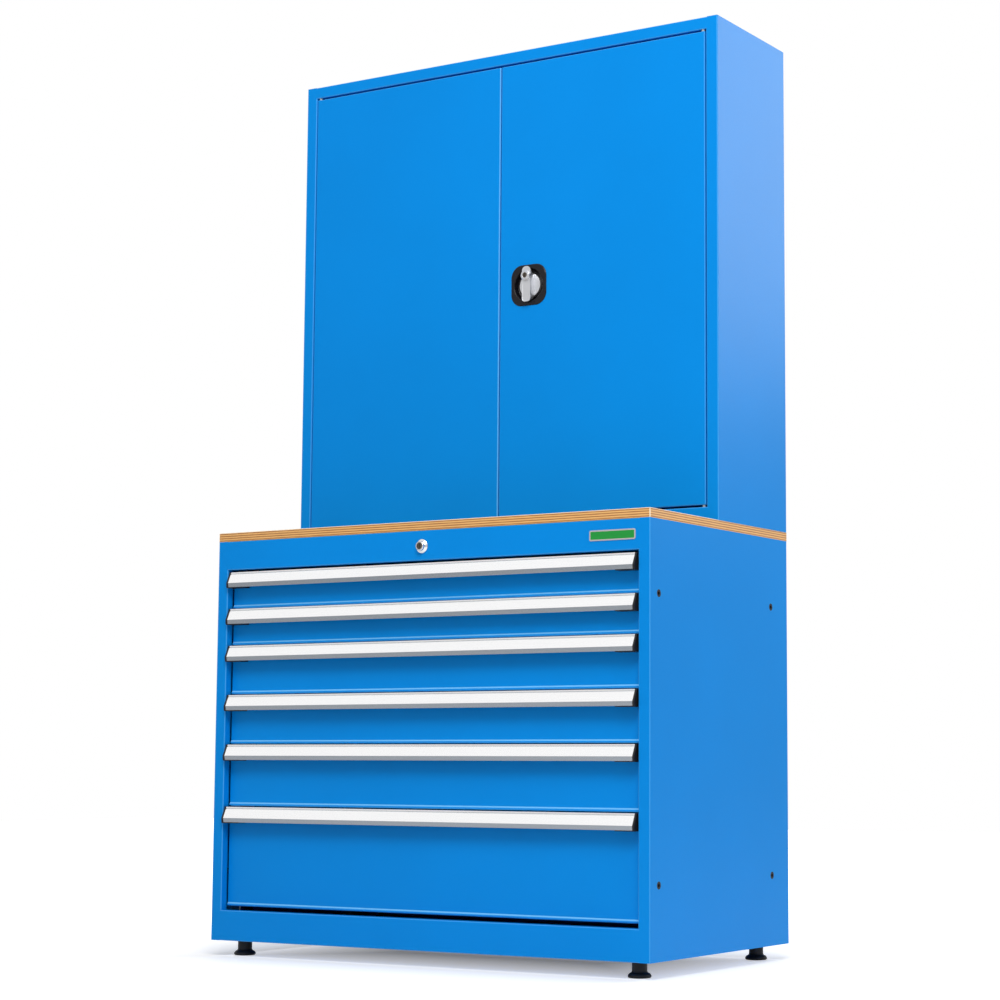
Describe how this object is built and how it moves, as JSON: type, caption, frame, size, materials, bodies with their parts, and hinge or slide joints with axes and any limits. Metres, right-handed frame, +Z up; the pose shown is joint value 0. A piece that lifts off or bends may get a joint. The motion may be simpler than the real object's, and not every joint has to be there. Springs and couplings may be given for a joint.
{
  "type": "tool cabinet with doors",
  "caption": "Steel tool cabinet: lockable drawers under a plywood worktop, and an upper cabinet with two hinged doors, shelves and a wing-handle rod lock.",
  "frame": {"origin": "on the floor under the middle of the outline", "axes": "+X to the cabinet's right as seen from the front, +Y to the back, +Z up"},
  "size_m": [1.023, 0.564, 1.858],
  "materials": {
    "blue_paint": "fine smooth powder coat, satin",
    "grip_aluminium": "satin anodised extrusion",
    "black_plastic": "fine-grained moulding",
    "zinc_steel": "zinc plated",
    "birch_plywood": "lacquered plywood with a bare edge",
    "lock_chrome": "bright nickel",
    "wing_silver": "silver lacquered die casting",
    "white_nylon": "natural nylon"
  },
  "bodies": {
    "housing": {"base_side_left": "blue_paint", "base_side_right": "blue_paint", "base_top": "blue_paint", "base_floor": "blue_paint", "base_back": "blue_paint", "drawer_rails": "zinc_steel", "side_inserts": "black_plastic", "worktop": "birch_plywood", "fasteners": "zinc_steel", "lock_barrel": "lock_chrome", "upper_side_left": "blue_paint", "upper_side_right": "blue_paint", "upper_top": "blue_paint", "upper_bottom": "blue_paint", "upper_back": "blue_paint", "shelf_strips": "blue_paint", "shelf_clips": "zinc_steel", "shelves": "blue_paint", "hinge_pins": "zinc_steel", "hinge_bushes": "white_nylon"},
    "drawer_1": {"drawer_1_box": "blue_paint", "drawer_1_handle": "grip_aluminium", "drawer_1_caps": "black_plastic"},
    "drawer_2": {"drawer_2_box": "blue_paint", "drawer_2_handle": "grip_aluminium", "drawer_2_caps": "black_plastic"},
    "drawer_3": {"drawer_3_box": "blue_paint", "drawer_3_handle": "grip_aluminium", "drawer_3_caps": "black_plastic"},
    "drawer_4": {"drawer_4_box": "blue_paint", "drawer_4_handle": "grip_aluminium", "drawer_4_caps": "black_plastic"},
    "drawer_5": {"drawer_5_box": "blue_paint", "drawer_5_handle": "grip_aluminium", "drawer_5_caps": "black_plastic"},
    "drawer_6": {"drawer_6_box": "blue_paint", "drawer_6_handle": "grip_aluminium", "drawer_6_caps": "black_plastic"},
    "slide_1": {"drawer_1_rails": "zinc_steel"},
    "slide_2": {"drawer_2_rails": "zinc_steel"},
    "slide_3": {"drawer_3_rails": "zinc_steel"},
    "slide_4": {"drawer_4_rails": "zinc_steel"},
    "slide_5": {"drawer_5_rails": "zinc_steel"},
    "slide_6": {"drawer_6_rails": "zinc_steel"},
    "left_door": {"left_door": "blue_paint"},
    "right_door": {"right_door": "blue_paint", "handle_dish": "black_plastic", "lock_case": "zinc_steel"},
    "wing": {"handle_wing": "wing_silver", "handle_cam": "zinc_steel"},
    "key": {"handle_key": "lock_chrome"},
    "upper_rod": {"upper_rod": "zinc_steel"},
    "lower_rod": {"lower_rod": "zinc_steel"},
    "lock_plug": {"lock_plug": "lock_chrome"},
    "transfer_bar": {"transfer_bar": "zinc_steel"},
    "locking_bar": {"locking_bar": "zinc_steel"},
    "foot_front_left": {"foot_front_left": "black_plastic"},
    "foot_front_right": {"foot_front_right": "black_plastic"},
    "foot_rear_left": {"foot_rear_left": "black_plastic"},
    "foot_rear_right": {"foot_rear_right": "black_plastic"}
  },
  "joints": [
    {"name": "drawer_1_travel", "type": "slide", "parent": "housing", "child": "drawer_1", "axis": [0, -1, 0], "range_m": [0, 0.45]},
    {"name": "drawer_2_travel", "type": "slide", "parent": "housing", "child": "drawer_2", "axis": [0, -1, 0], "range_m": [0, 0.45]},
    {"name": "drawer_3_travel", "type": "slide", "parent": "housing", "child": "drawer_3", "axis": [0, -1, 0], "range_m": [0, 0.45]},
    {"name": "drawer_4_travel", "type": "slide", "parent": "housing", "child": "drawer_4", "axis": [0, -1, 0], "range_m": [0, 0.45]},
    {"name": "drawer_5_travel", "type": "slide", "parent": "housing", "child": "drawer_5", "axis": [0, -1, 0], "range_m": [0, 0.45]},
    {"name": "drawer_6_travel", "type": "slide", "parent": "housing", "child": "drawer_6", "axis": [0, -1, 0], "range_m": [0, 0.45]},
    {"name": "slide_1_travel", "type": "slide", "parent": "housing", "child": "slide_1", "axis": [0, -1, 0], "range_m": [0, 0.225]},
    {"name": "slide_2_travel", "type": "slide", "parent": "housing", "child": "slide_2", "axis": [0, -1, 0], "range_m": [0, 0.225]},
    {"name": "slide_3_travel", "type": "slide", "parent": "housing", "child": "slide_3", "axis": [0, -1, 0], "range_m": [0, 0.225]},
    {"name": "slide_4_travel", "type": "slide", "parent": "housing", "child": "slide_4", "axis": [0, -1, 0], "range_m": [0, 0.225]},
    {"name": "slide_5_travel", "type": "slide", "parent": "housing", "child": "slide_5", "axis": [0, -1, 0], "range_m": [0, 0.225]},
    {"name": "slide_6_travel", "type": "slide", "parent": "housing", "child": "slide_6", "axis": [0, -1, 0], "range_m": [0, 0.225]},
    {"name": "left_door_hinge", "type": "hinge", "parent": "housing", "child": "left_door", "pos_m": [-0.4775, -0.004, 1.356], "axis": [0, 0, -1], "range_deg": [0, 110]},
    {"name": "right_door_hinge", "type": "hinge", "parent": "housing", "child": "right_door", "pos_m": [0.4775, -0.004, 1.356], "axis": [0, 0, 1], "range_deg": [0, 110]},
    {"name": "wing_turn", "type": "hinge", "parent": "right_door", "child": "wing", "pos_m": [0.072, -0.009, 1.36], "axis": [0, -1, 0], "range_deg": [0, 90]},
    {"name": "key_turn", "type": "hinge", "parent": "wing", "child": "key", "pos_m": [0.072, -0.009, 1.378], "axis": [0, -1, 0], "range_deg": [0, 90]},
    {"name": "upper_rod_shot", "type": "slide", "parent": "right_door", "child": "upper_rod", "axis": [0, 0, 1], "range_m": [0, 0.0198]},
    {"name": "lower_rod_shot", "type": "slide", "parent": "right_door", "child": "lower_rod", "axis": [0, 0, -1], "range_m": [0, 0.0198]},
    {"name": "lock_plug_turn", "type": "hinge", "parent": "housing", "child": "lock_plug", "pos_m": [0, -0.273, 0.805], "axis": [0, -1, 0], "range_deg": [0, 90]},
    {"name": "transfer_bar_shift", "type": "slide", "parent": "housing", "child": "transfer_bar", "axis": [1, 0, 0], "range_m": [0, 0.012]},
    {"name": "locking_bar_lift", "type": "slide", "parent": "housing", "child": "locking_bar", "axis": [0, 0, 1], "range_m": [0, 0.012]},
    {"name": "foot_front_left_turn", "type": "hinge", "parent": "housing", "child": "foot_front_left", "pos_m": [-0.462, -0.225, 0], "axis": [0, 0, 1], "continuous": true},
    {"name": "foot_front_right_turn", "type": "hinge", "parent": "housing", "child": "foot_front_right", "pos_m": [0.462, -0.225, 0], "axis": [0, 0, 1], "continuous": true},
    {"name": "foot_rear_left_turn", "type": "hinge", "parent": "housing", "child": "foot_rear_left", "pos_m": [-0.462, 0.234, 0], "axis": [0, 0, 1], "continuous": true},
    {"name": "foot_rear_right_turn", "type": "hinge", "parent": "housing", "child": "foot_rear_right", "pos_m": [0.462, 0.234, 0], "axis": [0, 0, 1], "continuous": true}
  ],
  "couplings": [
    {"joint": "slide_1_travel", "follows": "drawer_1_travel", "ratio": 0.5},
    {"joint": "slide_2_travel", "follows": "drawer_2_travel", "ratio": 0.5},
    {"joint": "slide_3_travel", "follows": "drawer_3_travel", "ratio": 0.5},
    {"joint": "slide_4_travel", "follows": "drawer_4_travel", "ratio": 0.5},
    {"joint": "slide_5_travel", "follows": "drawer_5_travel", "ratio": 0.5},
    {"joint": "slide_6_travel", "follows": "drawer_6_travel", "ratio": 0.5},
    {"joint": "upper_rod_shot", "follows": "wing_turn", "m_per_rad": 0.0126},
    {"joint": "lower_rod_shot", "follows": "wing_turn", "m_per_rad": 0.0126},
    {"joint": "lock_plug_turn", "follows": "locking_bar_lift", "rad_per_m": 130.9},
    {"joint": "transfer_bar_shift", "follows": "locking_bar_lift", "ratio": 1}
  ]
}
